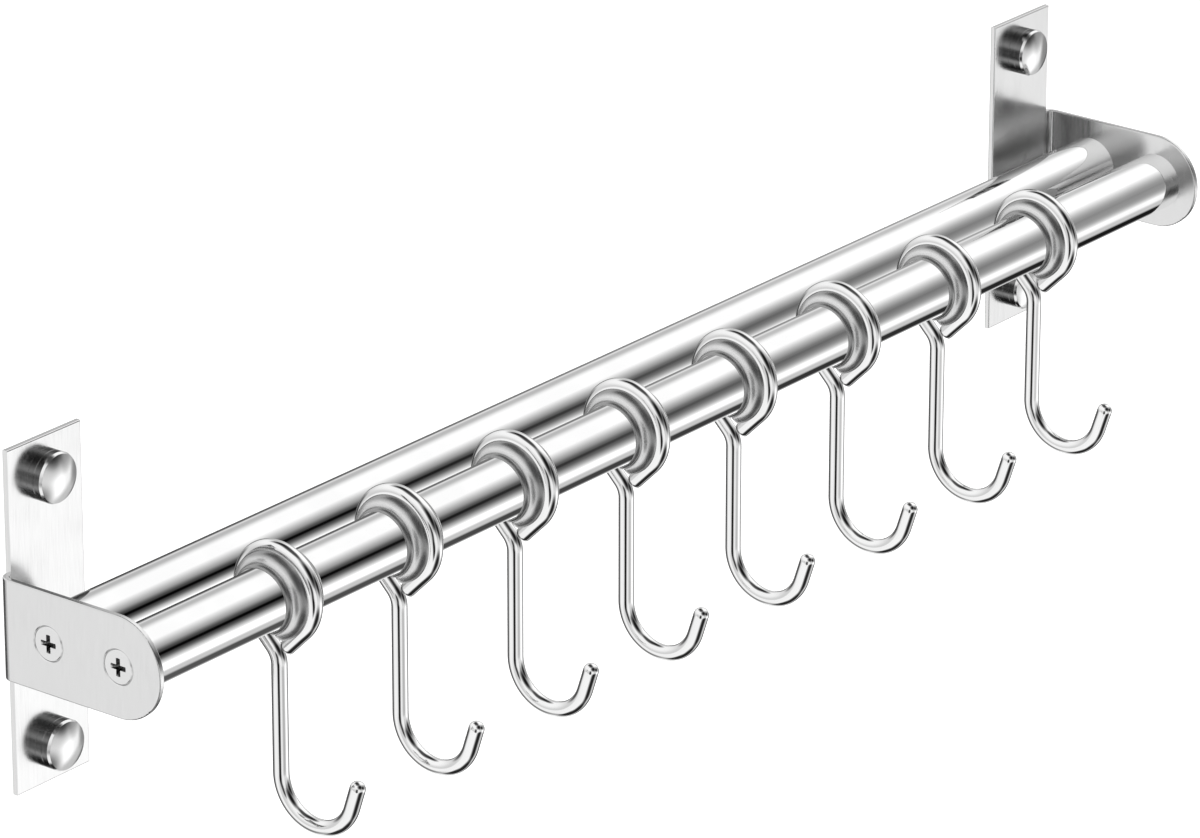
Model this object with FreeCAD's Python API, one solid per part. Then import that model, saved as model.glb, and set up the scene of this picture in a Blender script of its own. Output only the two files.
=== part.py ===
import FreeCAD, Part
import math
import os

# A double utensil rail for a wall, in millimetres.
# X runs along the rail, Y into the wall and Z up. The wall is the plane y = 0 and the room is at -Y.
# The origin is the middle of the four wall holes, on the wall.

# Sizes of the two tubes
tube_d = 16.0
tube_wall = 1.0
tube_length = 435.2
rear_axis_out = 16.1

# Sizes of the folded brackets
sheet_t = 1.6
bend_r = 1.6
plate_w = 26.0
plate_h = 90.0
ear_h = 26.6
edge_r = 0.35
wall_hole_d = 5.5
wall_hole_margin = 10.0

# Sizes of the ear screws and of the tapped inserts in the tube ends
screw_d = 5.0
screw_length = 14.0
head_d = 9.0
head_rim = 0.35
head_edge = 0.3
mouth_edge = 0.25
recess_w = 4.8
recess_arm = 1.3
recess_depth = 2.1
recess_taper = 0.55
insert_length = 18.0
screw_tip = 0.8

# Sizes of the covers over the wall screws
cover_d = 13.0
cover_side_h = 3.9
cover_bevel = 0.35
cover_bevel_h = 0.9
dome_h = 0.75
cover_skirt = 0.8
cover_roof = 1.4
base_h = 2.8
base_bore_d = 6.2
base_sink_d = 9.6

# Sizes of the hook wire
wire_d = 4.1
tail_length = 8.0
lead_angle = 45.0
neck_r = 6.0
shank_end = 47.5
j_r = 11.6
j_wrap = 162.0
j_tip = 6.0
tail_chamfer = 0.25

# Sizes of the glide bushes
bush_web = 1.15
bush_rim_h = 2.1
bush_half_w = 6.8
bush_end_h = 0.15
rim_land = 0.35
lip_w = 1.4
lip_h = 0.8
lip_bulge = 0.2
bead_bulge = 0.6
bush_opening = 42.0

# Places of the hooks along the rail
hook_count = 8
row_margin = 57.65
row_shift = -1.2

# Clearances
slide_clear = 0.3
groove_clear = 0.15
ring_clear = 0.6
fit_clear = 0.05
cover_clear = 0.1

# Sizes that follow from the ones above
tube_r = tube_d / 2
wire_r = wire_d / 2
bush_bore_r = tube_r + slide_clear
groove_r = wire_r + groove_clear
ring_r = bush_bore_r + bush_web + groove_r
tube_spacing = tube_r + ring_r + wire_r + ring_clear
rear_y = -rear_axis_out
front_y = rear_y - tube_spacing
ear_in_x = tube_length / 2
ear_out_x = ear_in_x + sheet_t
bend_out_r = bend_r + sheet_t
plate_out_x = ear_out_x - bend_out_r
plate_in_x = plate_out_x - plate_w
hole_x = (plate_out_x + plate_in_x) / 2
wall_hole_spacing = plate_h - 2 * wall_hole_margin
hole_z = wall_hole_spacing / 2
insert_r = tube_r - tube_wall - fit_clear
hook_pitch = (tube_length - 2 * row_margin) / (hook_count - 1)
head_cone_h = (head_d - screw_d) / 2

V = FreeCAD.Vector
X_AXIS = V(1, 0, 0)
Y_AXIS = V(0, 1, 0)
ORIGIN = V(0, 0, 0)


def save(name, shape):
    """Write one piece as its own STEP file."""
    shape.exportStep("parts/" + name + ".step")


def turned(profile, centre, axis, angle=360.0):
    """Revolve a closed outline of points about an axis."""
    face = Part.Face(Part.makePolygon(profile + [profile[0]]))
    return face.revolve(centre, axis, angle)


def mirrored(shape):
    """The same piece on the other end of the rail."""
    return shape.mirror(ORIGIN, X_AXIS)


def screw_body(grow, edge, mouth_r):
    """An ear screw without its recess, from x = 0 inwards along +X.

    grow makes the clearance form. At its outer end the head's side leans over the length edge to mouth_r.
    """
    head_r = head_d / 2 + grow
    shank_r = screw_d / 2 + grow
    cone_end = head_rim + head_cone_h
    profile = [
        V(0, 0, 0),
        V(0, mouth_r, 0),
        V(edge, head_r, 0),
        V(head_rim, head_r, 0),
        V(cone_end, shank_r, 0),
        V(screw_length - screw_tip, shank_r, 0),
        V(screw_length, shank_r - screw_tip, 0),
        V(screw_length, 0, 0),
    ]
    return turned(profile, ORIGIN, X_AXIS)


def cross_recess():
    """The screw's cross-shaped recess: two crossed slots that narrow towards their bottom."""
    half = recess_w / 2
    arm = recess_arm / 2
    tall = Part.makeBox(recess_depth, recess_arm, recess_w, V(0, -arm, -half))
    wide = Part.makeBox(recess_depth, recess_w, recess_arm, V(0, -half, -arm))
    taper = Part.makeCone(half, half * recess_taper, recess_depth, ORIGIN, X_AXIS)
    return tall.fuse(wide).common(taper)


def ear_screw(axis_y):
    """A countersunk screw, flush with the left ear and on a tube's axis."""
    screw = screw_body(0.0, head_edge, head_d / 2 - head_edge).cut(cross_recess())
    screw.translate(V(-ear_out_x, axis_y, 0))
    return screw


def screw_room(axis_y):
    """The space that an ear screw takes in the left ear and in the insert behind it."""
    room = screw_body(fit_clear, mouth_edge, head_d / 2 + fit_clear + mouth_edge)
    room.translate(V(-ear_out_x, axis_y, 0))
    return room


def ear_outline():
    """The ear's side view: straight at the top and bottom, with a half round end about the front tube."""
    top = ear_h / 2
    start = V(0, 0, top)
    high = V(0, front_y, top)
    tip = V(0, front_y - top, 0)
    low = V(0, front_y, -top)
    end = V(0, 0, -top)
    edges = [
        Part.LineSegment(start, high).toShape(),
        Part.Arc(high, tip, low).toShape(),
        Part.LineSegment(low, end).toShape(),
        Part.LineSegment(end, start).toShape(),
    ]
    return Part.Face(Part.Wire(edges))


def fold_profile():
    """The fold and the ear seen from above: a quarter bend, then flat sheet towards the room."""
    centre = V(-plate_out_x, -bend_out_r, 0)
    diagonal = V(-1, 1, 0).normalize()
    reach_y = front_y - ear_h
    back = V(-plate_out_x, 0, 0)
    front = V(-plate_out_x, -sheet_t, 0)
    outer = V(-ear_out_x, -bend_out_r, 0)
    inner = V(-ear_in_x, -bend_out_r, 0)
    outer_end = V(-ear_out_x, reach_y, 0)
    inner_end = V(-ear_in_x, reach_y, 0)
    edges = [
        Part.Arc(back, centre + diagonal * bend_out_r, outer).toShape(),
        Part.LineSegment(outer, outer_end).toShape(),
        Part.LineSegment(outer_end, inner_end).toShape(),
        Part.LineSegment(inner_end, inner).toShape(),
        Part.Arc(inner, centre + diagonal * bend_r, front).toShape(),
        Part.LineSegment(front, back).toShape(),
    ]
    return Part.Face(Part.Wire(edges))


def bracket():
    """The left bracket: wall plate, bend and ear from one sheet, with its holes."""
    plate = Part.makeBox(plate_w, sheet_t, plate_h, V(-plate_out_x, -sheet_t, -plate_h / 2))
    fold = fold_profile().extrude(V(0, 0, ear_h))
    fold.translate(V(0, 0, -ear_h / 2))
    outline = ear_outline().extrude(V(-bend_out_r, 0, 0))
    outline.translate(V(-plate_out_x, 0, 0))
    body = plate.fuse(fold.common(outline)).removeSplitter()
    body = rounded_edges(body)
    for z in (-hole_z, hole_z):
        hole = Part.makeCylinder(wall_hole_d / 2, 3 * sheet_t, V(-hole_x, sheet_t, z), -Y_AXIS)
        body = body.cut(hole)
    for axis_y in (rear_y, front_y):
        body = body.cut(screw_room(axis_y))
    return body


def rounded_edges(body):
    """Break the sheet's cut edges, on the front and back of the plate and on both faces of the ear."""
    fold_x = -plate_out_x
    picked = []
    for edge in body.Edges:
        box = edge.BoundBox
        on_plate = box.XMin > fold_x + edge_r or (box.XMax - box.XMin) > plate_w / 2
        on_ear = box.YMax < -bend_out_r + edge_r and box.XMax - box.XMin < edge_r
        if (on_plate and box.YMax - box.YMin < edge_r) or on_ear:
            if not (on_ear and box.YMin > -bend_out_r - edge_r):
                picked.append(edge)
    return body.makeFillet(edge_r, picked)


def rail(axis_y):
    """A round tube from ear to ear."""
    start = V(-tube_length / 2, axis_y, 0)
    outer = Part.makeCylinder(tube_r, tube_length, start, X_AXIS)
    inner = Part.makeCylinder(tube_r - tube_wall, tube_length, start, X_AXIS)
    return outer.cut(inner)


def end_insert(axis_y):
    """A round slug in the left end of a tube, tapped for the ear screw and flush with the tube's end."""
    start = V(-tube_length / 2, axis_y, 0)
    slug = Part.makeCylinder(insert_r, insert_length, start, X_AXIS)
    bore = Part.makeCylinder(screw_d / 2 + fit_clear, insert_length, start, X_AXIS)
    return slug.cut(bore).cut(screw_room(axis_y))


def cover_base(z):
    """A ring on the wall plate with a countersunk bore for the wall screw. The cap holds on its rim."""
    out_r = cover_d / 2 - cover_skirt - cover_clear
    bore_r = base_bore_d / 2
    sink_r = base_sink_d / 2
    foot = -sheet_t
    profile = [
        V(bore_r, foot, 0),
        V(out_r, foot, 0),
        V(out_r, foot - base_h, 0),
        V(sink_r, foot - base_h, 0),
        V(bore_r, foot - base_h + sink_r - bore_r, 0),
    ]
    ring = turned(profile, ORIGIN, Y_AXIS)
    ring.translate(V(-hole_x, 0, z))
    return ring


def cover_cap(z):
    """A low cap: a straight side, a bevel and a shallow dome, hollow behind."""
    out_r = cover_d / 2
    in_r = out_r - cover_skirt
    face_r = out_r - cover_bevel
    foot = -sheet_t
    side = foot - cover_side_h
    brim = side - cover_bevel_h
    peak = brim - dome_h
    roof = peak + cover_roof
    dome_r = (face_r ** 2 + dome_h ** 2) / (2 * dome_h)
    half_x = face_r / 2
    half_y = peak + dome_r - math.sqrt(dome_r ** 2 - half_x ** 2)
    dome = Part.Arc(V(face_r, brim, 0), V(half_x, half_y, 0), V(0, peak, 0)).toShape()
    corners = [
        V(0, peak, 0),
        V(0, roof, 0),
        V(in_r, roof, 0),
        V(in_r, foot, 0),
        V(out_r, foot, 0),
        V(out_r, side, 0),
        V(face_r, brim, 0),
    ]
    edges = [Part.LineSegment(a, b).toShape() for a, b in zip(corners, corners[1:])]
    cap = Part.Face(Part.Wire(edges + [dome])).revolve(ORIGIN, Y_AXIS, 360)
    cap.translate(V(-hole_x, 0, z))
    return cap


def on_plane(forward, up):
    """A point in a hook's plane, from the front tube's axis: forward to the room and up."""
    return V(0, front_y - forward, up)


def arc_points(forward, up, radius, first, last):
    """Start, middle and end of an arc about a centre. Angles run from forward towards up."""
    angles = [math.radians(a) for a in (first, (first + last) / 2, last)]
    return [on_plane(forward + radius * math.cos(a), up + radius * math.sin(a)) for a in angles]


def wire_line():
    """The hook's centre line: tail, ring over the tube, lead, neck, shank, J and tip."""
    lead = math.radians(lead_angle)
    neck_turn = 90.0 - lead_angle
    neck_run = neck_r * math.tan(math.radians(neck_turn) / 2)
    ring = arc_points(0, 0, ring_r, -lead_angle, 180 + lead_angle)
    tail_end = ring[0] + V(0, math.sin(lead), -math.cos(lead)) * tail_length
    lead_way = V(0, -math.sin(lead), -math.cos(lead))
    meet = ring_r / math.sin(lead)
    meet_run = ring_r / math.tan(lead)
    lead_end = ring[2] + lead_way * (meet_run - neck_run)
    neck_end = -meet - neck_run
    neck = arc_points(-neck_r, neck_end, neck_r, lead_angle, 0)
    j_bend = arc_points(j_r, -shank_end, j_r, 180, 180 + j_wrap)
    out = math.radians(180 + j_wrap)
    tip_way = V(0, math.sin(out), math.cos(out))
    tip_end = j_bend[2] + tip_way * j_tip
    edges = [
        Part.LineSegment(tail_end, ring[0]).toShape(),
        Part.Arc(*ring).toShape(),
        Part.LineSegment(ring[2], lead_end).toShape(),
        Part.Arc(lead_end, neck[1], neck[2]).toShape(),
        Part.LineSegment(neck[2], j_bend[0]).toShape(),
        Part.Arc(*j_bend).toShape(),
        Part.LineSegment(j_bend[2], tip_end).toShape(),
    ]
    return Part.Wire(edges), tail_end, tip_end, tip_way


def hook():
    """One bent wire with a chamfered tail and a round tip."""
    line, tail_end, tip_end, tip_way = wire_line()
    lead = math.radians(lead_angle)
    tail_way = V(0, -math.sin(lead), math.cos(lead))
    section = Part.Wire(Part.makeCircle(wire_r, tail_end, tail_way))
    rod = line.makePipeShell([section], True, False)
    tail_rim = [e for e in rod.Edges if is_ring_at(e, tail_end)]
    rod = rod.makeChamfer(tail_chamfer, tail_rim)
    ball = Part.makeSphere(wire_r, tip_end, tip_way, 0, 90, 360)
    return rod.fuse(ball).removeSplitter()


def is_ring_at(edge, centre):
    """Whether an edge is a circle about this point."""
    curve = edge.Curve
    return hasattr(curve, "Center") and curve.Center.distanceToPoint(centre) < wire_r / 10


def bulged(start, end, height):
    """An arc from start to end that stands out by height from the straight line between them."""
    chord = end - start
    out = V(chord.y, -chord.x, 0).normalize()
    return Part.Arc(start, (start + end) * 0.5 + out * height, end).toShape()


def glide_bush():
    """A C-shaped bush round the front tube, grooved for the wire and open at the bottom.

    Each flank is a broad bead beside the groove and a thin lip at the bush's end.
    """
    rim_r = bush_bore_r + bush_web + bush_rim_h
    groove_half = math.sqrt(groove_r ** 2 - (ring_r - rim_r) ** 2)
    groove_low = ring_r - groove_r

    def at(x, radius):
        return V(x, front_y - radius, 0)

    def flank(side):
        rim = at(side * groove_half, rim_r)
        land = at(side * (groove_half + rim_land), rim_r)
        foot = at(side * (bush_half_w - lip_w), bush_bore_r + lip_h)
        lip = at(side * bush_half_w, bush_bore_r + bush_end_h)
        end = at(side * bush_half_w, bush_bore_r)
        return [
            Part.LineSegment(rim, land).toShape(),
            bulged(land, foot, side * bead_bulge),
            bulged(foot, lip, side * lip_bulge),
            Part.LineSegment(lip, end).toShape(),
        ]

    groove = Part.Arc(at(-groove_half, rim_r), at(0, groove_low), at(groove_half, rim_r)).toShape()
    bore = Part.LineSegment(at(-bush_half_w, bush_bore_r), at(bush_half_w, bush_bore_r)).toShape()
    outline = Part.sortEdges(flank(1) + flank(-1) + [groove, bore])[0]
    profile = Part.Face(Part.Wire(outline))
    centre = V(0, front_y, 0)
    profile.rotate(centre, X_AXIS, 90 - bush_opening / 2)
    return profile.revolve(centre, -X_AXIS, 360 - bush_opening)


def placed_along(shape, index):
    """A copy of a hook or a bush at its place along the front tube."""
    first = row_shift - hook_pitch * (hook_count - 1) / 2
    copy = shape.copy()
    copy.translate(V(first + index * hook_pitch, 0, 0))
    return copy


def main():
    os.makedirs("parts", exist_ok=True)
    for name, axis_y in (("rear", rear_y), ("front", front_y)):
        save(name + "_rail", rail(axis_y))
        left_insert = end_insert(axis_y)
        left_screw = ear_screw(axis_y)
        save("left_" + name + "_insert", left_insert)
        save("right_" + name + "_insert", mirrored(left_insert))
        save("left_" + name + "_screw", left_screw)
        save("right_" + name + "_screw", mirrored(left_screw))
    left = bracket()
    save("left_bracket", left)
    save("right_bracket", mirrored(left))
    for name, z in (("upper", hole_z), ("lower", -hole_z)):
        base = cover_base(z)
        cap = cover_cap(z)
        save("left_" + name + "_cover_base", base)
        save("right_" + name + "_cover_base", mirrored(base))
        save("left_" + name + "_cover_cap", cap)
        save("right_" + name + "_cover_cap", mirrored(cap))
    one_hook = hook()
    one_bush = glide_bush()
    for index in range(hook_count):
        save("hook_" + str(index + 1), placed_along(one_hook, index))
        save("glide_bush_" + str(index + 1), placed_along(one_bush, index))


main()
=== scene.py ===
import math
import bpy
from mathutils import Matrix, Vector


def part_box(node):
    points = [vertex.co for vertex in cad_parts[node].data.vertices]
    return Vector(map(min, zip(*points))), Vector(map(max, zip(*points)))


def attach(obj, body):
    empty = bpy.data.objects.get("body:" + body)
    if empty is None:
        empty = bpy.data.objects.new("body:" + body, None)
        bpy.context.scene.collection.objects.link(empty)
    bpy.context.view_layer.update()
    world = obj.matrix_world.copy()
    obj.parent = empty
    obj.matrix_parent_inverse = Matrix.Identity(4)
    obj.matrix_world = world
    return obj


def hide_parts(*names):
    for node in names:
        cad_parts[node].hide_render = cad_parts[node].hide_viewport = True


bl_info = {
    "name": "Utensil Rail",
    "version": (1, 0, 0),
    "blender": (4, 5, 0),
    "location": "View3D > Sidebar > Utensil Rail",
    "description": "Dresses a double utensil rail with its hooks in polished steel",
    "category": "Object",
}

import bpy
import numpy as np
from mathutils import Matrix, Vector

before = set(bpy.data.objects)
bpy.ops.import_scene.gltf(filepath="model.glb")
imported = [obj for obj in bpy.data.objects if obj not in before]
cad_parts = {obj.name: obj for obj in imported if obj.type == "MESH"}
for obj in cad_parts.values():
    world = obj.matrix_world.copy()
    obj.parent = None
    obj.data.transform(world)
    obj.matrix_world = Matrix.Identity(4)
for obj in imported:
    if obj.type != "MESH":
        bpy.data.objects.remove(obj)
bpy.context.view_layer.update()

MM = 0.001
# Broken edges and the fine line turned round each cap
TUBE_EDGE = 0.15 * MM
TAIL_CHAMFER = 0.25 * MM
BUSH_END_EDGE = 0.04 * MM
BUSH_EDGES = {"groove": 0.2 * MM, "land": 0.3 * MM, "foot": 0.15 * MM, "lip": 0.12 * MM, "bore": 0.05 * MM}
CAP_EDGES = {"rim": 0.12 * MM, "mark": 0.02 * MM, "foot": 0.08 * MM, "roof": 0.1 * MM}
CAP_MARK_DEPTH = 0.07 * MM
HOOK_COUNT = sum(name.startswith("hook_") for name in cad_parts)
SIDES = ("left", "right")
ROWS = ("rear", "front")
LEVELS = ("upper", "lower")


def middle(node):
    """The centre of a node's box."""
    low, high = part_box(node)
    return (low + high) / 2


def extent(node):
    """The size of a node's box along X, Y and Z."""
    low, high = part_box(node)
    return high - low


# Meshes. Every surface is a grid of points worked out as whole arrays.


def line(start, end, near):
    """Points from start to end with one more a little way in from each end. Returns points and directions."""
    start, end = np.array(start, float), np.array(end, float)
    span = end - start
    length = np.hypot(*span)
    share = min(near / length, 0.3)
    steps = np.array([0.0, share, 1.0 - share, 1.0])
    return start + steps[:, None] * span, np.tile(span / length, (len(steps), 1))


def arc(centre, radius, first, last, step):
    """Points at radius from centre as the angle runs from first to last degrees, with the directions along them."""
    count = max(2, math.ceil(abs(last - first) / step)) + 1
    angle = np.radians(np.linspace(first, last, count))
    way = np.stack([np.cos(angle), np.sin(angle)], axis=1)
    sign = 1.0 if last > first else -1.0
    along = sign * np.stack([-np.sin(angle), np.cos(angle)], axis=1)
    return np.array(centre, float) + radius * way, along


def joined(parts):
    """One run of points and directions from several that meet end to end."""
    points = [parts[0][0]] + [p[0][1:] for p in parts[1:]]
    ways = [parts[0][1]] + [p[1][1:] for p in parts[1:]]
    return np.concatenate(points), np.concatenate(ways)


def rounded(corners, radii, closed, steps=5):
    """An outline in which an arc of its radius, tangent to both sides, takes each corner's place.

    A point a third of a radius before and after each arc keeps the shading of the flats flat.
    """
    corners = np.array(corners, float)
    count = len(corners)
    points = []
    for i in range(count):
        here, radius = corners[i], radii[i]
        at_end = not closed and i in (0, count - 1)
        if at_end or radius == 0.0:
            points.append(here[None])
            continue
        back = corners[i - 1] - here
        ahead = corners[(i + 1) % count] - here
        back_len, ahead_len = np.hypot(*back), np.hypot(*ahead)
        back, ahead = back / back_len, ahead / ahead_len
        half = math.acos(np.clip(back @ ahead, -1.0, 1.0)) / 2
        reach = min(radius / math.tan(half), 0.45 * back_len, 0.45 * ahead_len)
        radius = reach * math.tan(half)
        centre = here + (back + ahead) / np.hypot(*(back + ahead)) * radius / math.sin(half)
        first = here + back * reach - centre
        turn = (math.pi - 2 * half) * np.sign(-back[0] * ahead[1] + back[1] * ahead[0])
        angle = np.linspace(0.0, turn, steps + 1)
        cos, sin = np.cos(angle), np.sin(angle)
        bend = np.stack([first[0] * cos - first[1] * sin, first[0] * sin + first[1] * cos], axis=1)
        points.append((here + back * reach * 1.1)[None])
        points.append(centre + bend)
        points.append((here + ahead * reach * 1.1)[None])
    return np.concatenate(points)


def bulge(start, end, height, count):
    """Points between start and end on an arc that stands out by height from the straight line between them.

    The ends themselves are left out. The arc stands out to the left of the line from start to end.
    """
    start, end = np.array(start, float), np.array(end, float)
    span = end - start
    length = np.hypot(*span)
    unit = span / length
    out = np.array([-unit[1], unit[0]])
    radius = length**2 / (8 * height) + height / 2
    turn = math.asin(length / (2 * radius))
    angle = np.linspace(-turn, turn, count + 2)[1:-1, None]
    middle_point = (start + end) / 2
    return middle_point + radius * np.sin(angle) * unit + (radius * np.cos(angle) - radius + height) * out


def shrunk(outline, depth):
    """A closed outline moved inwards by depth, square to its own run. The outline goes round clockwise."""
    along = np.roll(outline, -1, axis=0) - np.roll(outline, 1, axis=0)
    along /= np.hypot(along[:, 0], along[:, 1])[:, None]
    return outline + depth * np.stack([along[:, 1], -along[:, 0]], axis=1)


def quads(rows, columns, wrap_rows, wrap_columns):
    """The four-sided faces of a grid of rows by columns, joined round where it wraps."""
    r = np.arange(rows if wrap_rows else rows - 1)
    c = np.arange(columns if wrap_columns else columns - 1)
    r, c = np.meshgrid(r, c, indexing="ij")
    below, beside = (r + 1) % rows, (c + 1) % columns
    faces = np.stack([r * columns + c, r * columns + beside, below * columns + beside, below * columns + c], axis=-1)
    return faces.reshape(-1, 4)


def signed_volume(points, blocks):
    """The volume inside a closed mesh, positive when its faces point outwards.

    It is a sixth of the sum, over the triangles of each face's fan, of first . (second x third). Each block holds
    faces with the same number of corners.
    """
    total = 0.0
    for face in blocks:
        corner = points[face]
        total += np.sum(np.cross(corner[:, 1:-1], corner[:, 2:]) * corner[:, :1])
    return total / 6.0


def solid(name, grids, flats=()):
    """A closed mesh object from grids of points.

    Each grid is (points, wrap_rows, wrap_columns, start_pole, end_pole), where a pole is a point that closes the
    grid's first or last row. Each of flats is a list of point numbers in the first grid, for a flat end face.
    """
    points, faces = [], []
    base = 0
    for grid, wrap_rows, wrap_columns, start_pole, end_pole in grids:
        rows, columns = grid.shape[:2]
        faces.append(quads(rows, columns, wrap_rows, wrap_columns) + base)
        points.append(grid.reshape(-1, 3))
        pole = base + rows * columns
        ring = np.arange(columns)
        beside = (ring + 1) % columns
        if start_pole is not None:
            points.append(np.array(start_pole, float)[None])
            faces.append(np.stack([ring + base, np.full(columns, pole), beside + base], axis=1))
            pole += 1
        if end_pole is not None:
            last = base + (rows - 1) * columns
            points.append(np.array(end_pole, float)[None])
            faces.append(np.stack([ring + last, beside + last, np.full(columns, pole)], axis=1))
            pole += 1
        base = pole
    points = np.concatenate(points)
    flats = [np.asarray(f)[None] for f in flats]
    if signed_volume(points, faces + flats) < 0:
        faces = [f[:, ::-1] for f in faces]
        flats = [f[:, ::-1] for f in flats]
    listed = [face for block in faces + flats for face in block.tolist()]
    mesh = bpy.data.meshes.new(name)
    mesh.from_pydata(points.tolist(), [], listed)
    smooth = np.ones(len(listed), bool)
    if flats:
        smooth[-len(flats):] = False
    mesh.polygons.foreach_set("use_smooth", smooth)
    mesh.validate()
    made = bpy.data.objects.new(name, mesh)
    bpy.context.scene.collection.objects.link(made)
    return made


def turned(outline, place, steps):
    """Points of an outline (along, radius) carried once round an axis.

    Row i and column j hold place(along_i, radius_i * cos(angle_j), radius_i * sin(angle_j)).
    """
    angle = np.linspace(0.0, 2 * math.pi, steps, endpoint=False)
    along, radius = outline[:, :1], outline[:, 1:]
    grid = place(along + 0 * angle, radius * np.cos(angle), radius * np.sin(angle))
    return np.stack(grid, axis=-1)


def swept(points, ways, radii, plane_x, sides=40):
    """A round section carried along a line in the plane x = plane_x.

    The ring about point i is point_i + radius_i * (cos(a) * across_i + sin(a) * X), with across_i square to way_i.
    """
    angle = np.linspace(0.0, 2 * math.pi, sides, endpoint=False)
    across = np.stack([-ways[:, 1], ways[:, 0]], axis=1)
    ring = radii[:, None, None] * np.cos(angle)[None, :, None] * across[:, None, :]
    flat = points[:, None, :] + ring
    x = plane_x + radii[:, None] * np.sin(angle)
    return np.concatenate([x[..., None], flat], axis=-1)


def dress(piece, body, slot_name, material, *nodes, mirrored=True):
    """Give a piece its material, tie it to its body and let it stand for its nodes.

    A piece that isn't mirrored stays out of the other pieces' reflections, where it would leave thin streaks.
    """
    piece.data.materials.append(material)
    piece.visible_glossy = mirrored
    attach(piece, body)
    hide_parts(*nodes)


def paint(node, material):
    """Give a node that keeps its own mesh a material."""
    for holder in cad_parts[node].material_slots:
        holder.material = material


# Materials. Noise lies mostly between the two values of MID_NOISE, which are stretched to a full range.

MID_NOISE = (0.3, 0.7)


class Value:
    """A socket's value in a shader expression. Sums and products of values add their Math nodes."""

    def __init__(self, shader, socket):
        self.shader = shader
        self.socket = socket

    def math(self, operation, *others):
        """This value and others through one Math operation."""
        made = self.shader.node("ShaderNodeMath", {"operation": operation}, [self, *others])
        return Value(self.shader, made.outputs[0])

    def __add__(self, other):
        return self.math("ADD", other)

    __radd__ = __add__

    def __mul__(self, other):
        return self.math("MULTIPLY", other)

    __rmul__ = __mul__

    def __sub__(self, other):
        return self.math("SUBTRACT", other)

    def __rsub__(self, other):
        made = self.shader.node("ShaderNodeMath", {"operation": "SUBTRACT"}, [other, self])
        return Value(self.shader, made.outputs[0])

    def __pow__(self, other):
        return self.math("POWER", other)

    def ramp(self, low, high, to_low=0.0, to_high=1.0):
        """A smooth step from to_low, below low, to to_high, above high."""
        settings = {"interpolation_type": "SMOOTHSTEP"}
        inputs = {"Value": self, "From Min": low, "From Max": high, "To Min": to_low, "To Max": to_high}
        return Value(self.shader, self.shader.node("ShaderNodeMapRange", settings, inputs).outputs[0])

    def slope(self, low, high, to_low=0.0, to_high=1.0):
        """A straight step from to_low, below low, to to_high, above high."""
        inputs = {"Value": self, "From Min": low, "From Max": high, "To Min": to_low, "To Max": to_high}
        return Value(self.shader, self.shader.node("ShaderNodeMapRange", {"clamp": True}, inputs).outputs[0])

    def toward(self, other, share):
        """This value at share 0 and the other one at share 1."""
        return self + (other - self) * share


class Shader:
    """A material's or a world's node tree."""

    def __init__(self, tree):
        self.tree = tree
        tree.nodes.clear()

    def node(self, kind, settings=None, inputs=None):
        """Add a node of a type: its settings first, then values or links for its sockets, by name or in order."""
        made = self.tree.nodes.new(kind)
        for name, setting in (settings or {}).items():
            setattr(made, name, setting)
        named = inputs.items() if isinstance(inputs, dict) else enumerate(inputs or [])
        for name, entry in named:
            if isinstance(entry, Value):
                entry = entry.socket
            if isinstance(entry, bpy.types.NodeSocket):
                self.tree.links.new(entry, made.inputs[name])
            else:
                made.inputs[name].default_value = entry
        return made

    def parts(self, vector):
        """The three components of a vector."""
        made = self.node("ShaderNodeSeparateXYZ", None, [vector])
        return [Value(self, out) for out in made.outputs]

    def card(self, light, way, azimuth, height, inner, outer, level):
        """The light with a soft round card of another level, seen at an azimuth and a height in degrees.

        The azimuth is 0 at +X and 90 towards the room. The card's edge runs from inner to outer degrees.
        """
        turn, lift = math.radians(azimuth), math.radians(height)
        facing = (math.cos(turn) * math.cos(lift), -math.sin(turn) * math.cos(lift), math.sin(lift))
        made = self.node("ShaderNodeVectorMath", {"operation": "DOT_PRODUCT"}, [way, facing])
        near = Value(self, made.outputs["Value"])
        share = near.ramp(math.cos(math.radians(outer)), math.cos(math.radians(inner)))
        return light.toward(level, share)

    def noise(self, vector, scale, detail=2.0, stretch=(1.0, 1.0, 1.0)):
        """Noise from 0 to 1 of a number of lumps per metre, stretched along the axes."""
        grown = self.node("ShaderNodeVectorMath", {"operation": "MULTIPLY"}, [vector, stretch])
        settings = {"noise_dimensions": "3D"}
        inputs = {"Vector": grown.outputs[0], "Scale": scale, "Detail": detail}
        made = self.node("ShaderNodeTexNoise", settings, inputs)
        return Value(self, made.outputs[0])


def grey(level):
    """A neutral colour."""
    return (level, level, level, 1.0)


def blend_colour(shader, low, high, share):
    """A colour from low at share 0 to high at share 1."""
    made = shader.node("ShaderNodeMix", {"data_type": "RGBA"}, {0: share, 6: low, 7: high})
    return made.outputs[2]


def painted_recess_shade(shader, place):
    """How deep a point lies in a screw's recess, where it is painted darker as shade: 0 on the head's face and 1 from
    half a millimetre below it.
    """
    start, depth = 0.1 * MM, 0.5 * MM
    face = abs(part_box("left_bracket")[0].x) - start
    return shader.parts(place)[0].math("ABSOLUTE").ramp(face, face - depth)


def painted_barrel_shade(shader, place):
    """1 on a cap's turned side, which is painted darker as shade, and 0 on its polished face."""
    sizes = bpy.context.scene.rail_sizes
    rise, fade = 0.05 * MM, 0.15 * MM
    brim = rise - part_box("left_upper_cover_cap")[0].y - sizes.dome_height - sizes.bevel_height
    return (shader.parts(place)[1] * -1.0).ramp(brim, brim - fade)


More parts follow.
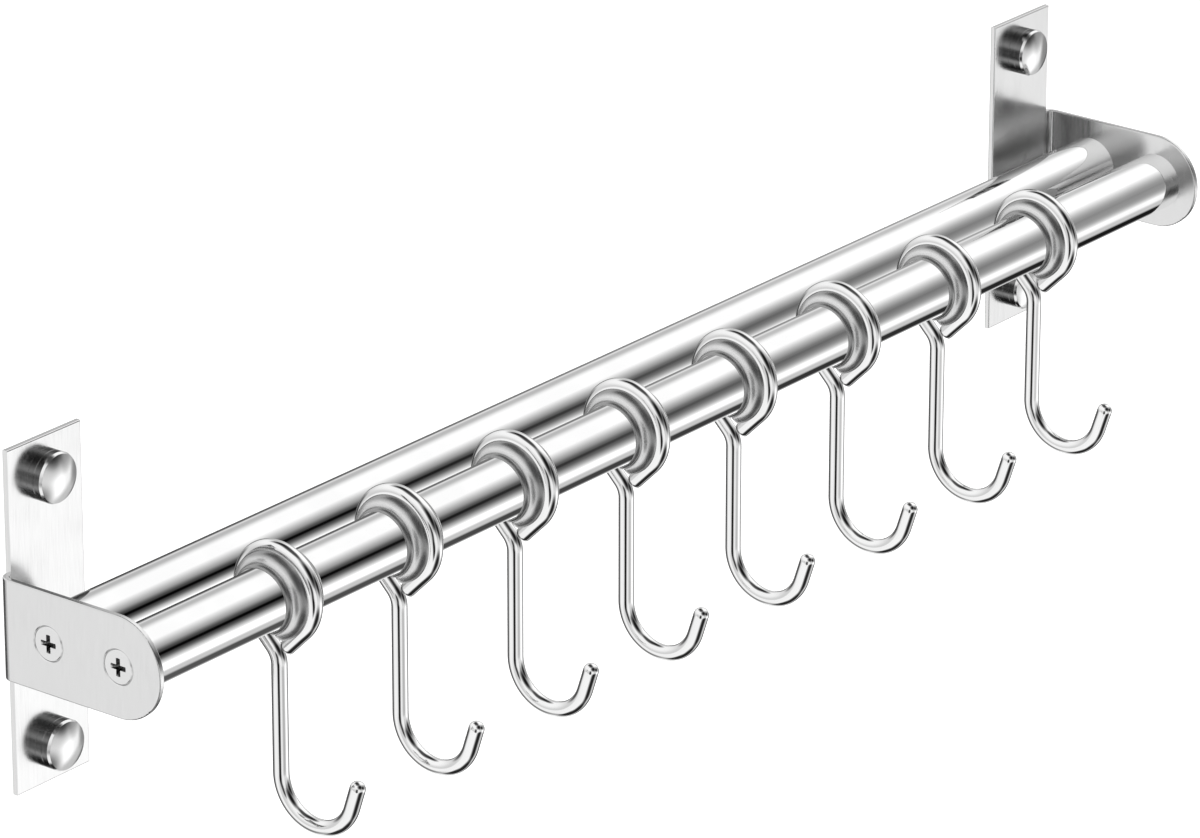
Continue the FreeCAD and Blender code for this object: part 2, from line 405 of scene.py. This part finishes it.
def painted_bead_highlight(shader, place):
    """1 on a bush's bead, painted bright as a highlight, falling to 0 on its lip and beside its groove, which are
    painted dark as shade.

    It goes by the height above the bush's bore: 0 up to the lip, 1 from the bead to its slope, and 0 at the rim.
    """
    lip, bead, slope, rim = 0.8 * MM, 1.2 * MM, 1.7 * MM, 2.9 * MM
    axis = middle("front_rail")
    bore = extent("front_rail").z / 2 + bpy.context.scene.rail_sizes.slide_clearance
    _, y, z = shader.parts(place)
    across, up = y - axis.y, z - axis.z
    height = (across * across + up * up) ** 0.5 - bore
    return height.ramp(lip, bead) * height.ramp(rim, slope)


def new_material(name):
    """A material with an empty node tree, and the place of a point on its object."""
    material = bpy.data.materials.new(name)
    material.use_nodes = True
    shader = Shader(material.node_tree)
    return material, shader, shader.node("ShaderNodeTexCoord").outputs["Object"]


def skin(shader, inputs):
    """The surface of a material."""
    made = shader.node("ShaderNodeBsdfPrincipled", None, inputs)
    shader.node("ShaderNodeOutputMaterial", None, [made.outputs[0]])


def shade(colour, level):
    """A colour made darker by a level below 1."""
    return (*(level * part for part in colour[:3]), 1.0)


def polished_steel(name, colour, roughness, grain, grain_depth, zone=None, zone_colour=None):
    """Bright steel. Fine polishing lines, stretched along grain, vary its roughness and its surface a little.

    zone gives the share of zone_colour at a point; on the caps and the screws that colour is painted shade.
    """
    material, shader, place = new_material(name)
    lines = shader.noise(place, 2600.0, 3.0, grain)
    clouds = shader.noise(place, 90.0)
    tint = blend_colour(shader, shade(colour, 0.965), colour, clouds.ramp(*MID_NOISE))
    if zone:
        tint = blend_colour(shader, tint, zone_colour, zone(shader, place))
    gloss = clouds.slope(*MID_NOISE, roughness * 0.8, roughness * 1.2)
    gloss = gloss + lines.slope(*MID_NOISE, 0.0, roughness * 0.4)
    bump = shader.node("ShaderNodeBump", None, {"Strength": 1.0, "Distance": grain_depth, "Height": lines})
    skin(shader, {"Base Color": tint, "Metallic": 1.0, "Roughness": gloss, "Normal": bump.outputs[0]})
    return material


def satin_plastic(name, low, high, share, roughness):
    """Moulded plastic with a soft sheen and a very fine mould texture, from low to high by its share at a point. On
    the bushes the low colour is painted shade and the high one a painted highlight.
    """
    cloud_share, mould_depth = 0.05, 0.001 * MM
    material, shader, place = new_material(name)
    mould = shader.noise(place, 2400.0, 3.0)
    clouds = shader.noise(place, 700.0)
    high_share = share(shader, place) * (1.0 - cloud_share) + clouds.ramp(*MID_NOISE) * cloud_share
    bump = shader.node("ShaderNodeBump", None, {"Strength": 1.0, "Distance": mould_depth, "Height": mould})
    inputs = {
        "Base Color": blend_colour(shader, low, high, high_share),
        "Roughness": clouds.slope(*MID_NOISE, roughness * 0.9, roughness * 1.1),
        "Normal": bump.outputs[0],
        "Metallic": 0.6,
        "Coat Weight": 0.3,
        "Coat Roughness": 0.08,
    }
    skin(shader, inputs)
    return material


# Settings


class RailSizes(bpy.types.PropertyGroup):
    """Sizes of the pieces that are drawn as smooth surfaces."""

    tube_wall: bpy.props.FloatProperty(
        name="Tube wall",
        description="Thickness of the tube's wall",
        default=1.0 * MM,
        unit="LENGTH",
        precision=4,
    )
    wire: bpy.props.FloatProperty(
        name="Wire",
        description="Diameter of the hook wire",
        default=extent("hook_1").x,
        unit="LENGTH",
        precision=4,
    )
    ring_radius: bpy.props.FloatProperty(
        name="Ring radius",
        description="Radius of the hook's ring at the wire's centre line",
        default=11.65 * MM,
        unit="LENGTH",
        precision=4,
    )
    tail: bpy.props.FloatProperty(
        name="Tail",
        description="Straight end of the wire in front of the rail",
        default=8.0 * MM,
        unit="LENGTH",
        precision=4,
    )
    lead_angle: bpy.props.FloatProperty(
        name="Lead angle",
        description="Slope of the wire's straight parts beside the ring",
        default=math.radians(45.0),
        subtype="ANGLE",
    )
    neck_radius: bpy.props.FloatProperty(
        name="Neck radius",
        description="Bend between the lead and the shank",
        default=6.0 * MM,
        unit="LENGTH",
        precision=4,
    )
    shank_end: bpy.props.FloatProperty(
        name="Shank end",
        description="Depth below the rail's axis at which the lower bend starts",
        default=47.5 * MM,
        unit="LENGTH",
        precision=4,
    )
    bend_radius: bpy.props.FloatProperty(
        name="Lower bend",
        description="Radius of the lower bend at the wire's centre line",
        default=11.6 * MM,
        unit="LENGTH",
        precision=4,
    )
    bend_wrap: bpy.props.FloatProperty(
        name="Lower bend's turn",
        description="Angle through which the lower bend turns the wire",
        default=math.radians(162.0),
        subtype="ANGLE",
    )
    tip: bpy.props.FloatProperty(
        name="Tip",
        description="Straight end of the wire after the lower bend",
        default=6.0 * MM,
        unit="LENGTH",
        precision=4,
    )
    slide_clearance: bpy.props.FloatProperty(
        name="Slide clearance",
        description="Space between a bush's bore and the tube",
        default=0.3 * MM,
        unit="LENGTH",
        precision=4,
    )
    groove_clearance: bpy.props.FloatProperty(
        name="Groove clearance",
        description="Space between the wire and its groove",
        default=0.15 * MM,
        unit="LENGTH",
        precision=4,
    )
    rim_land: bpy.props.FloatProperty(
        name="Rim land",
        description="Flat beside the groove on a bush's rim",
        default=0.35 * MM,
        unit="LENGTH",
        precision=4,
    )
    lip_width: bpy.props.FloatProperty(
        name="Lip width",
        description="Width of the thin lip at a bush's end",
        default=1.4 * MM,
        unit="LENGTH",
        precision=4,
    )
    lip_height: bpy.props.FloatProperty(
        name="Lip height",
        description="Height of the lip where it meets the bead",
        default=0.8 * MM,
        unit="LENGTH",
        precision=4,
    )
    end_height: bpy.props.FloatProperty(
        name="End height",
        description="Height of the lip at the bush's end",
        default=0.15 * MM,
        unit="LENGTH",
        precision=4,
    )
    bead_bulge: bpy.props.FloatProperty(
        name="Bead bulge",
        description="How far the bead stands out from a straight flank",
        default=0.6 * MM,
        unit="LENGTH",
        precision=4,
    )
    lip_bulge: bpy.props.FloatProperty(
        name="Lip bulge",
        description="How far the lip stands out from a straight flank",
        default=0.2 * MM,
        unit="LENGTH",
        precision=4,
    )
    opening: bpy.props.FloatProperty(
        name="Opening",
        description="Angle left open at a bush's bottom",
        default=math.radians(42.0),
        subtype="ANGLE",
    )
    cap_skirt: bpy.props.FloatProperty(
        name="Cap skirt",
        description="Thickness of a cap's side",
        default=0.8 * MM,
        unit="LENGTH",
        precision=4,
    )
    cap_roof: bpy.props.FloatProperty(
        name="Cap roof",
        description="Thickness of a cap's face at its middle",
        default=1.4 * MM,
        unit="LENGTH",
        precision=4,
    )
    cap_bevel: bpy.props.FloatProperty(
        name="Cap bevel",
        description="Width of the bevel round a cap's face",
        default=0.35 * MM,
        unit="LENGTH",
        precision=4,
    )
    bevel_height: bpy.props.FloatProperty(
        name="Bevel height",
        description="Height of the bevel round a cap's face",
        default=0.7 * MM,
        unit="LENGTH",
        precision=4,
    )
    dome_height: bpy.props.FloatProperty(
        name="Dome height",
        description="Height of the dome of a cap's face",
        default=0.95 * MM,
        unit="LENGTH",
        precision=4,
    )


class RailColours(bpy.types.PropertyGroup):
    """Colours of the finishes, among them painted shade for the screws' recesses, the caps' sides and the bushes'
    lips, and a painted highlight for the bushes' beads.
    """

    steel: bpy.props.FloatVectorProperty(
        name="Steel",
        description="Colour of the polished tubes and hooks",
        default=grey(0.88),
        size=4,
        min=0.0,
        max=1.0,
        subtype="COLOR",
    )
    sheet: bpy.props.FloatVectorProperty(
        name="Sheet",
        description="Colour of the brackets and the ear screws",
        default=grey(0.76),
        size=4,
        min=0.0,
        max=1.0,
        subtype="COLOR",
    )
    cap: bpy.props.FloatVectorProperty(
        name="Cap",
        description="Colour of the caps' faces",
        default=grey(0.82),
        size=4,
        min=0.0,
        max=1.0,
        subtype="COLOR",
    )
    # Painted shade in the screws' recesses and on the caps' turned sides.
    painted_hollow_shade: bpy.props.FloatVectorProperty(
        name="Hollow",
        description="Colour of the caps' turned sides and of the screws' recesses",
        default=grey(0.3),
        size=4,
        min=0.0,
        max=1.0,
        subtype="COLOR",
    )
    turned: bpy.props.FloatVectorProperty(
        name="Turned steel",
        description="Colour of the inserts and the cover bases",
        default=grey(0.6),
        size=4,
        min=0.0,
        max=1.0,
        subtype="COLOR",
    )
    # The bright bush colour is a painted highlight on the beads.
    bush: bpy.props.FloatVectorProperty(
        name="Bush",
        description="Colour of the plastic bushes' beads",
        default=grey(0.85),
        size=4,
        min=0.0,
        max=1.0,
        subtype="COLOR",
    )
    # The darker bush colour is painted shade on the lips and beside the grooves.
    bush_painted_shade: bpy.props.FloatVectorProperty(
        name="Bush lip",
        description="Colour of the plastic bushes' lips and grooves",
        default=grey(0.32),
        size=4,
        min=0.0,
        max=1.0,
        subtype="COLOR",
    )
    floor: bpy.props.FloatVectorProperty(
        name="Floor",
        description="Colour of the floor",
        default=grey(0.9),
        size=4,
        min=0.0,
        max=1.0,
        subtype="COLOR",
    )


# Pieces


def finish(kind):
    """The material of this name, made when it is first wanted."""
    found = bpy.data.materials.get(kind)
    if found:
        return found
    colours = bpy.context.scene.rail_colours
    steel, sheet, cap, turned = (tuple(c) for c in (colours.steel, colours.sheet, colours.cap, colours.turned))
    painted_hollow_shade, bead, lip = (tuple(c) for c in (colours.painted_hollow_shade, colours.bush, colours.bush_painted_shade))
    # Each line gives the colour, the roughness, the stretch of the polishing lines and their depth in metres.
    if kind == "polished_tube":
        return polished_steel(kind, steel, 0.035, (0.02, 1.0, 1.0), 0.8e-6)
    if kind == "polished_sheet":
        return polished_steel(kind, sheet, 0.18, (1.0, 1.0, 0.05), 0.5e-6)
    if kind == "polished_wire":
        return polished_steel(kind, steel, 0.05, (1.0, 1.0, 1.0), 1.0e-6)
    # The caps' turned sides are painted darker as shade.
    if kind == "polished_cap":
        return polished_steel(kind, cap, 0.11, (0.1, 1.0, 0.1), 2.0e-6, painted_barrel_shade, painted_hollow_shade)
    # The screws' recesses are painted darker as shade.
    if kind == "screw_steel":
        return polished_steel(kind, sheet, 0.12, (1.0, 1.0, 1.0), 0.5e-6, painted_recess_shade, painted_hollow_shade)
    if kind == "turned_steel":
        return polished_steel(kind, turned, 0.3, (1.0, 0.1, 1.0), 4.0e-6)
    # The bushes get painted shade on their lips and beside their grooves, and a painted highlight on their beads.
    if kind == "bush_plastic":
        return satin_plastic(kind, lip, bead, painted_bead_highlight, 0.22)
    raise ValueError("no finish is named " + kind)


class RAIL_OT_tubes(bpy.types.Operator):
    """Draw the two round tubes with broken edges"""

    bl_idname = "rail.tubes"
    bl_label = "Tubes"

    def execute(self, context):
        wall = context.scene.rail_sizes.tube_wall
        for row in ROWS:
            node = row + "_rail"
            size, centre = extent(node), middle(node)
            half, radius = size.x / 2, size.z / 2
            corners = [(-half, radius), (half, radius), (half, radius - wall), (-half, radius - wall)]
            outline = rounded(corners, [TUBE_EDGE] * 4, True)
            grid = turned(outline, lambda along, a, b: (along + centre.x, a + centre.y, b + centre.z), 160)
            piece = solid(node + "_tube", [(grid, True, True, None, None)])
            dress(piece, "rail", "rail_tube", finish("polished_tube"), node, mirrored=False)
        return {"FINISHED"}


def hook_line(sizes):
    """The hook's centre line in its plane, as (forward, up) from the rail's axis, with its directions and radii.

    It runs from the tail's cut end over the ring, down the lead and the shank, and round the lower bend to the tip.
    """
    wire = sizes.wire / 2
    ring, neck, bend = sizes.ring_radius, sizes.neck_radius, sizes.bend_radius
    lead = sizes.lead_angle
    lead_deg = math.degrees(lead)
    cos, sin = math.cos(lead), math.sin(lead)
    near = wire / 2
    tail_top = np.array([ring * cos, -ring * sin])
    tail_end = tail_top + sizes.tail * np.array([-sin, -cos])
    lead_top = np.array([-ring * cos, -ring * sin])
    meet = ring / sin
    neck_run = neck * math.tan((math.pi / 2 - lead) / 2)
    lead_end = np.array([-neck_run * sin, -meet + neck_run * cos])
    neck_centre = (-neck, -meet - neck_run)
    wrap = math.degrees(sizes.bend_wrap)
    low_centre = (bend, -sizes.shank_end)
    runs = [
        line(tail_end, tail_top, near),
        arc((0.0, 0.0), ring, -lead_deg, 180.0 + lead_deg, 3.0),
        line(lead_top, lead_end, near),
        arc(neck_centre, neck, lead_deg, 0.0, 5.0),
        line((0.0, neck_centre[1]), (0.0, -sizes.shank_end), near),
        arc(low_centre, bend, 180.0, 180.0 + wrap, 3.0),
    ]
    bend_end, bend_way = runs[-1][0][-1], runs[-1][1][-1]
    runs.append(line(bend_end, bend_end + bend_way * sizes.tip, near))
    points, ways = joined(runs)
    radii = np.full(len(points), wire)
    return points, ways, radii


def with_ends(points, ways, radii, chamfer):
    """Add the tail's chamfered flat end before the line and the tip's half ball after it.

    At a depth d in a chamfer of height c the tail's radius is wire - c + d, and one more ring lies on its flat end.
    At an angle a the ball's ring lies sin(a) radii past the line's end and has cos(a) times the wire's radius. The
    last two values are the poles that close both ends.
    """
    wire = radii[0]
    way, start = ways[0], points[0]
    depth = np.array([0.0, 0.0, 0.15, 0.85, 1.0]) * chamfer
    flat = np.array([0.4 * wire, 0.0, 0.0, 0.0, 0.0])
    head_radii = wire - chamfer + depth - flat
    head = start + depth[:, None] * way
    angle = np.radians(np.linspace(6.0, 84.0, 14))
    ball = points[-1] + wire * np.sin(angle)[:, None] * ways[-1]
    all_points = np.concatenate([head, points[1:], ball])
    all_ways = np.concatenate([np.tile(way, (len(head), 1)), ways[1:], np.tile(ways[-1], (len(ball), 1))])
    all_radii = np.concatenate([head_radii, radii[1:], wire * np.cos(angle)])
    return all_points, all_ways, all_radii, start, points[-1] + wire * ways[-1]


class RAIL_OT_hooks(bpy.types.Operator):
    """Draw the bent wire hooks"""

    bl_idname = "rail.hooks"
    bl_label = "Hooks"

    def execute(self, context):
        sizes = context.scene.rail_sizes
        axis = middle("front_rail")
        points, ways, radii, start, pole = with_ends(*hook_line(sizes), TAIL_CHAMFER)
        # Forward in the hook's plane is -Y.
        flip = np.array([-1.0, 1.0])
        shift = np.array([axis.y, axis.z])
        for number in range(1, HOOK_COUNT + 1):
            node = f"hook_{number}"
            plane = middle(node).x
            grid = swept(points * flip + shift, ways * flip, radii, plane)
            ends = [(plane, *(p * flip + shift)) for p in (start, pole)]
            piece = solid(node + "_wire", [(grid, False, True, *ends)])
            dress(piece, f"swing_{node}", "hook_wire", finish("polished_wire"), node, mirrored=False)
        return {"FINISHED"}


def bush_outline(sizes, half, rim):
    """A bush's section as (along, radius), closed and clockwise.

    From the groove it runs over the rim's flat land, down the arched bead and the arched lip to the bush's end, back
    along the bore, and up the same way on the other side. The groove is an arc about the ring's radius.
    """
    bore = extent("front_rail").z / 2 + sizes.slide_clearance
    groove = sizes.wire / 2 + sizes.groove_clearance
    rise = sizes.ring_radius - rim
    groove_half = math.sqrt(groove**2 - rise**2)
    land = (groove_half + sizes.rim_land, rim)
    foot = (half - sizes.lip_width, bore + sizes.lip_height)
    lip = (half, bore + sizes.end_height)
    side = [((groove_half, rim), BUSH_EDGES["groove"]), (land, BUSH_EDGES["land"])]
    side += [(point, 0.0) for point in bulge(land, foot, sizes.bead_bulge, 14)]
    side += [(foot, BUSH_EDGES["foot"])]
    side += [(point, 0.0) for point in bulge(foot, lip, sizes.lip_bulge, 6)]
    side += [(lip, BUSH_EDGES["lip"]), ((half, bore), BUSH_EDGES["bore"])]
    mirrored = [((-x, radius), bend) for (x, radius), bend in reversed(side)]
    edge = math.atan2(rise, groove_half)
    angle = np.linspace(math.pi + edge, 2 * math.pi - edge, 18)[1:-1]
    trough = [((groove * math.cos(a), sizes.ring_radius + groove * math.sin(a)), 0.0) for a in angle]
    corners, bends = zip(*(side + mirrored + trough))
    return rounded(corners, bends, True, 4)


def bush_turns(sizes, rim):
    """The angles in degrees at which a bush's section stands, and how far it is shrunk there.

    The section goes round from one side of the opening at the bottom to the other. At both ends a few sections close
    together shrink it a little, which breaks the edge of the end face.
    """
    half_gap = math.degrees(sizes.opening) / 2
    first, last = half_gap - 90.0, 270.0 - half_gap
    edge_turn = np.array([0.0, 0.25, 0.55, 1.0]) * math.degrees(BUSH_END_EDGE / rim)
    edge_depth = np.array([1.0, 0.45, 0.15, 0.0]) * BUSH_END_EDGE
    middle_turns = np.linspace(first, last, 120)[2:-2]
    turns = np.concatenate([first + edge_turn, middle_turns, (last - edge_turn)[::-1]])
    depths = np.concatenate([edge_depth, np.zeros(len(middle_turns)), edge_depth[::-1]])
    return turns, depths


class RAIL_OT_bushes(bpy.types.Operator):
    """Draw the plastic bushes that carry the hooks' rings"""

    bl_idname = "rail.bushes"
    bl_label = "Bushes"

    def execute(self, context):
        sizes = context.scene.rail_sizes
        axis = middle("front_rail")
        whole = extent("glide_bush_1")
        rim = whole.y / 2
        outline = bush_outline(sizes, whole.x / 2, rim)
        turns, depths = bush_turns(sizes, rim)
        rings = np.stack([shrunk(outline, depth) for depth in depths], axis=1)
        turn = np.radians(turns)
        for number in range(1, HOOK_COUNT + 1):
            node = f"glide_bush_{number}"
            place = middle(node).x
            y = axis.y - rings[..., 1] * np.cos(turn)
            z = axis.z + rings[..., 1] * np.sin(turn)
            grid = np.stack([place + rings[..., 0], y, z], axis=-1)
            rows, columns = grid.shape[:2]
            start = np.arange(rows) * columns
            ends = [start, start[::-1] + columns - 1]
            piece = solid(node + "_bush", [(grid, True, False, None, None)], ends)
            dress(piece, f"glide_{number}", "glide_bush", finish("bush_plastic"), node, mirrored=False)
        return {"FINISHED"}


def cap_outline(sizes, out, deep):
    """A cap's section as (radius, height above the wall), open at the axis.

    From the apex it runs down a dome, which is an arc of a circle, then down the bevel and the straight side with a
    fine line turned into it, round the skirt's foot and up the inside to the roof.
    """
    inside = out - sizes.cap_skirt
    roof = deep - sizes.cap_roof
    brim = deep - sizes.dome_height
    face = out - sizes.cap_bevel
    straight = brim - sizes.bevel_height
    mark = straight * 0.52
    half_mark = 1.5 * CAP_MARK_DEPTH
    dome_radius = (face**2 + sizes.dome_height**2) / (2 * sizes.dome_height)
    radius = face * np.append(0.02, np.linspace(0.08, 0.96, 16))
    height = deep - dome_radius + np.sqrt(dome_radius**2 - radius**2)
    height[0] = deep
    corners = [(point, 0.0) for point in zip(radius, height)]
    corners += [((face, brim), CAP_EDGES["rim"]), ((out, straight), CAP_EDGES["rim"])]
    corners += [((out, mark + half_mark), CAP_EDGES["mark"])]
    corners += [((out - CAP_MARK_DEPTH, mark), CAP_EDGES["mark"])]
    corners += [((out, mark - half_mark), CAP_EDGES["mark"])]
    corners += [((out, 0.0), CAP_EDGES["foot"]), ((inside, 0.0), CAP_EDGES["foot"])]
    corners += [((inside, roof), CAP_EDGES["roof"]), ((0.05 * inside, roof), 0.0)]
    points, bends = zip(*corners)
    return rounded(points, bends, False, 4)


class RAIL_OT_caps(bpy.types.Operator):
    """Draw the domed caps over the wall screws"""

    bl_idname = "rail.caps"
    bl_label = "Caps"

    def execute(self, context):
        sizes = context.scene.rail_sizes
        for side in SIDES:
            for level in LEVELS:
                node = f"{side}_{level}_cover_cap"
                size, centre = extent(node), middle(node)
                deep = size.y
                outline = cap_outline(sizes, size.x / 2, deep)
                wall = centre.y + deep / 2
                grid = turned(outline[:, ::-1], lambda along, a, b: (a + centre.x, wall - along, b + centre.z), 128)
                poles = [(centre.x, wall - along, centre.z) for along in (deep, deep - sizes.cap_roof)]
                piece = solid(node + "_dome", [(grid, False, True, *poles)])
                dress(piece, "rail", "cover_cap", finish("polished_cap"), node)
        return {"FINISHED"}


class RAIL_OT_painted_nodes(bpy.types.Operator):
    """Finish the brackets, screws, inserts and cover bases"""

    bl_idname = "rail.painted_nodes"
    bl_label = "Painted nodes"

    def execute(self, context):
        for side in SIDES:
            paint(side + "_bracket", finish("polished_sheet"))
            for row in ROWS:
                paint(f"{side}_{row}_screw", finish("screw_steel"))
                paint(f"{side}_{row}_insert", finish("turned_steel"))
            for level in LEVELS:
                paint(f"{side}_{level}_cover_base", finish("turned_steel"))
        return {"FINISHED"}


# Stage


# Soft round cards in the light, near black ones and a few pale ones, which give the bent wires their fine lines.
# Each has its azimuth and height, the angles where its edge starts and ends, all in degrees, and its level.
CARDS = (
    (98, 38, 8, 46, 0.01),
    (60, 12, 4, 24, 0.02),
    (118, -6, 6, 22, 1.0),
    (153, -20, 7, 21, 0.01),
    (150, 2, 6, 18, 0.06),
    (90, -50, 10, 36, 0.02),
    (-134, -66, 4, 16, 0.02),
    (-62, 62, 4, 27, 0.02),
    (-112, -40, 6, 24, 0.18),
    (-88, -20, 12, 30, 0.08),
    (-148, -23, 8, 22, 1.03),
    (12, -16, 6, 16, 0.3),
    (-53, 4, 2, 10, 0.25),
)
# The roll in degrees at which the dark line between sky and floor stands.
HORIZON = 14.0
# The X part of the directions that the tubes mirror at their left and their right end, seen from the camera's side.
LEFT_END, RIGHT_END = 0.67, 0.79

CAMERA_PLACE = (-1.35607, -1.07918, 0.67039)
CAMERA_YAW, CAMERA_PITCH, CAMERA_ROLL = 0.90349, -0.37614, 0.00087
CAMERA_LENS, CAMERA_FILM = 212.54, 36.0
FLOOR_SIDE, FLOOR_HEIGHT, FLOOR_GLOW = 4.0, -0.5, 0.8


def right_light(x, roll):
    """The light that the tubes mirror, by its roll about their length.

    Roll is 0 towards the room, 90 straight up and 180 at the wall. The sky brightens from the horizon upwards, then
    falls off behind. The floor brightens downwards, turns to grey and to near black straight below, and is bright
    again behind. A dark limb stands at the wall, and a dark line along the horizon. Towards the right end all dark
    parts get lighter.
    """
    limb = x.slope(LEFT_END, RIGHT_END, 0.0, 0.45)
    sky = roll.slope(8.0, 68.0) ** 1.55 * 1.15
    sky = sky.toward(0.55, roll.ramp(112.0, 145.0))
    sky = sky.toward(0.8, roll.ramp(152.0, 165.0))
    sky = sky.toward(limb, roll.ramp(169.0, 175.0))
    low = (roll + x.slope(LEFT_END, RIGHT_END, 0.0, 7.0)).slope(HORIZON, -25.0)
    floor = low**2.2 * x.slope(LEFT_END, RIGHT_END, 1.32, 1.0) + roll.ramp(26.0, HORIZON) * 0.1
    floor = floor.toward(0.66, roll.ramp(-44.0, -58.0))
    floor = floor.toward(x.slope(0.66, 0.78, 0.12, 0.01), roll.ramp(-69.0, -82.0))
    floor = floor.toward(1.05, roll.ramp(-105.0, -141.0))
    floor = floor.toward(limb, roll.ramp(-145.0, -152.0))
    both = (sky + floor) * (roll - HORIZON).math("ABSOLUTE").ramp(-0.5, 6.5)
    fill = x.ramp(0.68, 0.80) * roll.ramp(-60.0, -30.0) * 0.33
    return (both * both + fill * fill) ** 0.5


def left_light(z):
    """The light elsewhere, by its height: soft above, bright below, and dark straight up and straight down."""
    light = z.ramp(-0.05, 0.6) * 0.33 + 0.72
    light = light.toward(0.08, z.ramp(0.86, 0.98))
    light = light.toward(1.05, z.ramp(-0.1, -0.55))
    return light.toward(0.02, z.ramp(-0.86, -0.97))


def studio_world():
    """Soft studio light from all around, with the cards set into it and the horizon's black core last of all.

    The camera itself sees white.
    """
    world = bpy.data.worlds.new("studio_light")
    world.use_nodes = True
    shader = Shader(world.node_tree)
    way = shader.node("ShaderNodeTexCoord").outputs["Generated"]
    x, y, z = shader.parts(way)
    roll = z.math("ARCTAN2", y * -1.0) * math.degrees(1.0)
    light = left_light(z).toward(right_light(x, roll), x.ramp(0.36, 0.60))
    for card in CARDS:
        light = shader.card(light, way, *card)
    core = (roll - HORIZON).math("ABSOLUTE").ramp(8.0, 2.0) * x.ramp(0.60, 0.66) * x.slope(0.703, 0.745, 0.92, 0.0)
    light = light.toward(0.0, core)
    seen = Value(shader, shader.node("ShaderNodeLightPath").outputs["Is Camera Ray"])
    strength = light.toward(1.0, seen)
    lamp = shader.node("ShaderNodeBackground", None, {"Color": grey(1.0), "Strength": strength})
    shader.node("ShaderNodeOutputWorld", None, [lamp.outputs[0]])
    bpy.context.scene.world = world


def pale_floor(colour):
    """A wide pale floor well below the rail. The camera sees it close to white, with the rail's soft shadow on it."""
    mesh = bpy.data.meshes.new("floor")
    corners = [(x * FLOOR_SIDE, y * FLOOR_SIDE, FLOOR_HEIGHT) for x, y in ((-1, -1), (1, -1), (1, 1), (-1, 1))]
    mesh.from_pydata(corners, [], [(0, 1, 2, 3)])
    floor = bpy.data.objects.new("floor", mesh)
    bpy.context.scene.collection.objects.link(floor)
    material, shader, place = new_material("floor")
    tint = blend_colour(shader, shade(colour, 0.985), colour, shader.noise(place, 3.0).ramp(*MID_NOISE))
    seen = Value(shader, shader.node("ShaderNodeLightPath").outputs["Is Camera Ray"])
    glow = blend_colour(shader, grey(0.0), grey(1.0), seen)
    skin(shader, {"Base Color": tint, "Roughness": 1.0, "Emission Color": glow, "Emission Strength": FLOOR_GLOW})
    mesh.materials.append(material)
    floor.visible_glossy = False


def photo_camera():
    """The camera, which looks along (sin yaw cos pitch, cos yaw cos pitch, sin pitch) and is then rolled a little."""
    lens = bpy.data.cameras.new("camera")
    lens.sensor_fit = "HORIZONTAL"
    lens.sensor_width = CAMERA_FILM
    lens.lens = CAMERA_LENS
    lens.clip_start, lens.clip_end = 0.05, 50.0
    camera = bpy.data.objects.new("camera", lens)
    sin, cos = math.sin(CAMERA_YAW), math.cos(CAMERA_YAW)
    level = math.cos(CAMERA_PITCH)
    ahead = Vector((sin * level, cos * level, math.sin(CAMERA_PITCH)))
    right = Vector((cos, -sin, 0.0))
    turn = Matrix((right, right.cross(ahead), -ahead)).transposed() @ Matrix.Rotation(CAMERA_ROLL, 3, "Z")
    camera.matrix_world = Matrix.Translation(CAMERA_PLACE) @ turn.to_4x4()
    bpy.context.scene.collection.objects.link(camera)
    return camera


class RAIL_OT_stage(bpy.types.Operator):
    """Set the camera, the pale floor and the studio light"""

    bl_idname = "rail.stage"
    bl_label = "Stage"

    def execute(self, context):
        studio_world()
        pale_floor(tuple(context.scene.rail_colours.floor))
        bpy.context.scene.camera = photo_camera()
        context.scene.view_settings.view_transform = "Standard"
        return {"FINISHED"}


class RAIL_PT_panel(bpy.types.Panel):
    """Lists the pieces in the sidebar"""

    bl_idname = "RAIL_PT_panel"
    bl_label = "Utensil Rail"
    bl_space_type = "VIEW_3D"
    bl_region_type = "UI"
    bl_category = "Utensil Rail"

    def draw(self, context):
        for operator in OPERATORS:
            self.layout.operator(operator.bl_idname)
        for group in (context.scene.rail_sizes, context.scene.rail_colours):
            for name in group.__annotations__:
                self.layout.prop(group, name)


GROUPS = (RailSizes, RailColours)
OPERATORS = (RAIL_OT_tubes, RAIL_OT_hooks, RAIL_OT_bushes, RAIL_OT_caps, RAIL_OT_painted_nodes, RAIL_OT_stage)


def register():
    for made in GROUPS + OPERATORS + (RAIL_PT_panel,):
        bpy.utils.register_class(made)
    bpy.types.Scene.rail_sizes = bpy.props.PointerProperty(type=RailSizes)
    bpy.types.Scene.rail_colours = bpy.props.PointerProperty(type=RailColours)


def unregister():
    del bpy.types.Scene.rail_colours
    del bpy.types.Scene.rail_sizes
    for made in reversed(GROUPS + OPERATORS + (RAIL_PT_panel,)):
        bpy.utils.unregister_class(made)


def main():
    register()
    bpy.ops.rail.tubes()
    bpy.ops.rail.hooks()
    bpy.ops.rail.bushes()
    bpy.ops.rail.caps()
    bpy.ops.rail.painted_nodes()
    bpy.ops.rail.stage()


if __name__ == "__main__":
    main()
